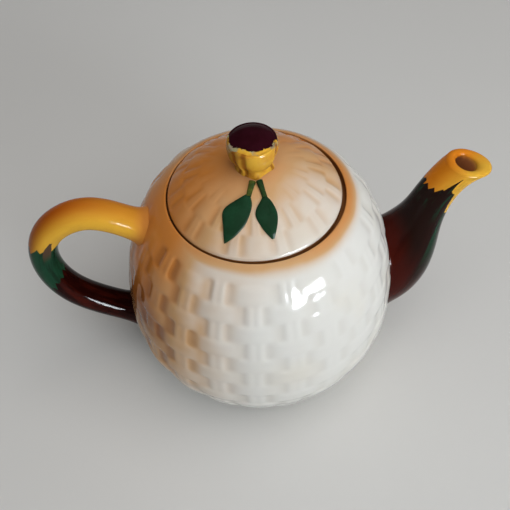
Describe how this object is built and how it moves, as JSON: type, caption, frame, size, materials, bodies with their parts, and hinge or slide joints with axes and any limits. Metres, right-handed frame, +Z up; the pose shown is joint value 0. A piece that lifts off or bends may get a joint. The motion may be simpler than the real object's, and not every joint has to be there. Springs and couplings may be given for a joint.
{
  "type": "teapot",
  "caption": "Round glazed earthenware teapot with basket-weave relief, looped handle, curved spout and a lift-off lid with a bud knob and applied leaves.",
  "frame": {"origin": "on the pot's axis, at the level of the table, half way between the spout's lip and the outside of the handle", "axes": "+Z up along the pot's axis, +X towards the spout, +Y to the back as the spout points right"},
  "size_m": [0.2294, 0.14, 0.1553],
  "materials": {
    "ivory_glaze": "glossy ivory glaze with tan stains",
    "brown_glaze": "glossy dark brown glaze, running into green and yellow",
    "yellow_glaze": "glossy amber yellow glaze",
    "plum_glaze": "glossy dark plum glaze",
    "leaf_glaze": "glossy dark green glaze"
  },
  "bodies": {
    "pot": {"pot_body": "ivory_glaze", "spout": "brown_glaze", "handle": "brown_glaze"},
    "lid": {"lid_shell": "ivory_glaze", "knob_calyx": "yellow_glaze", "knob_bud": "plum_glaze", "left_leaf": "leaf_glaze", "right_leaf": "leaf_glaze", "left_leaf_stem": "leaf_glaze", "right_leaf_stem": "leaf_glaze"}
  },
  "joints": [
    {"name": "lid_lift", "type": "slide", "parent": "pot", "child": "lid", "axis": [0, 0, 1], "range_m": [0, 0.08]}
  ]
}
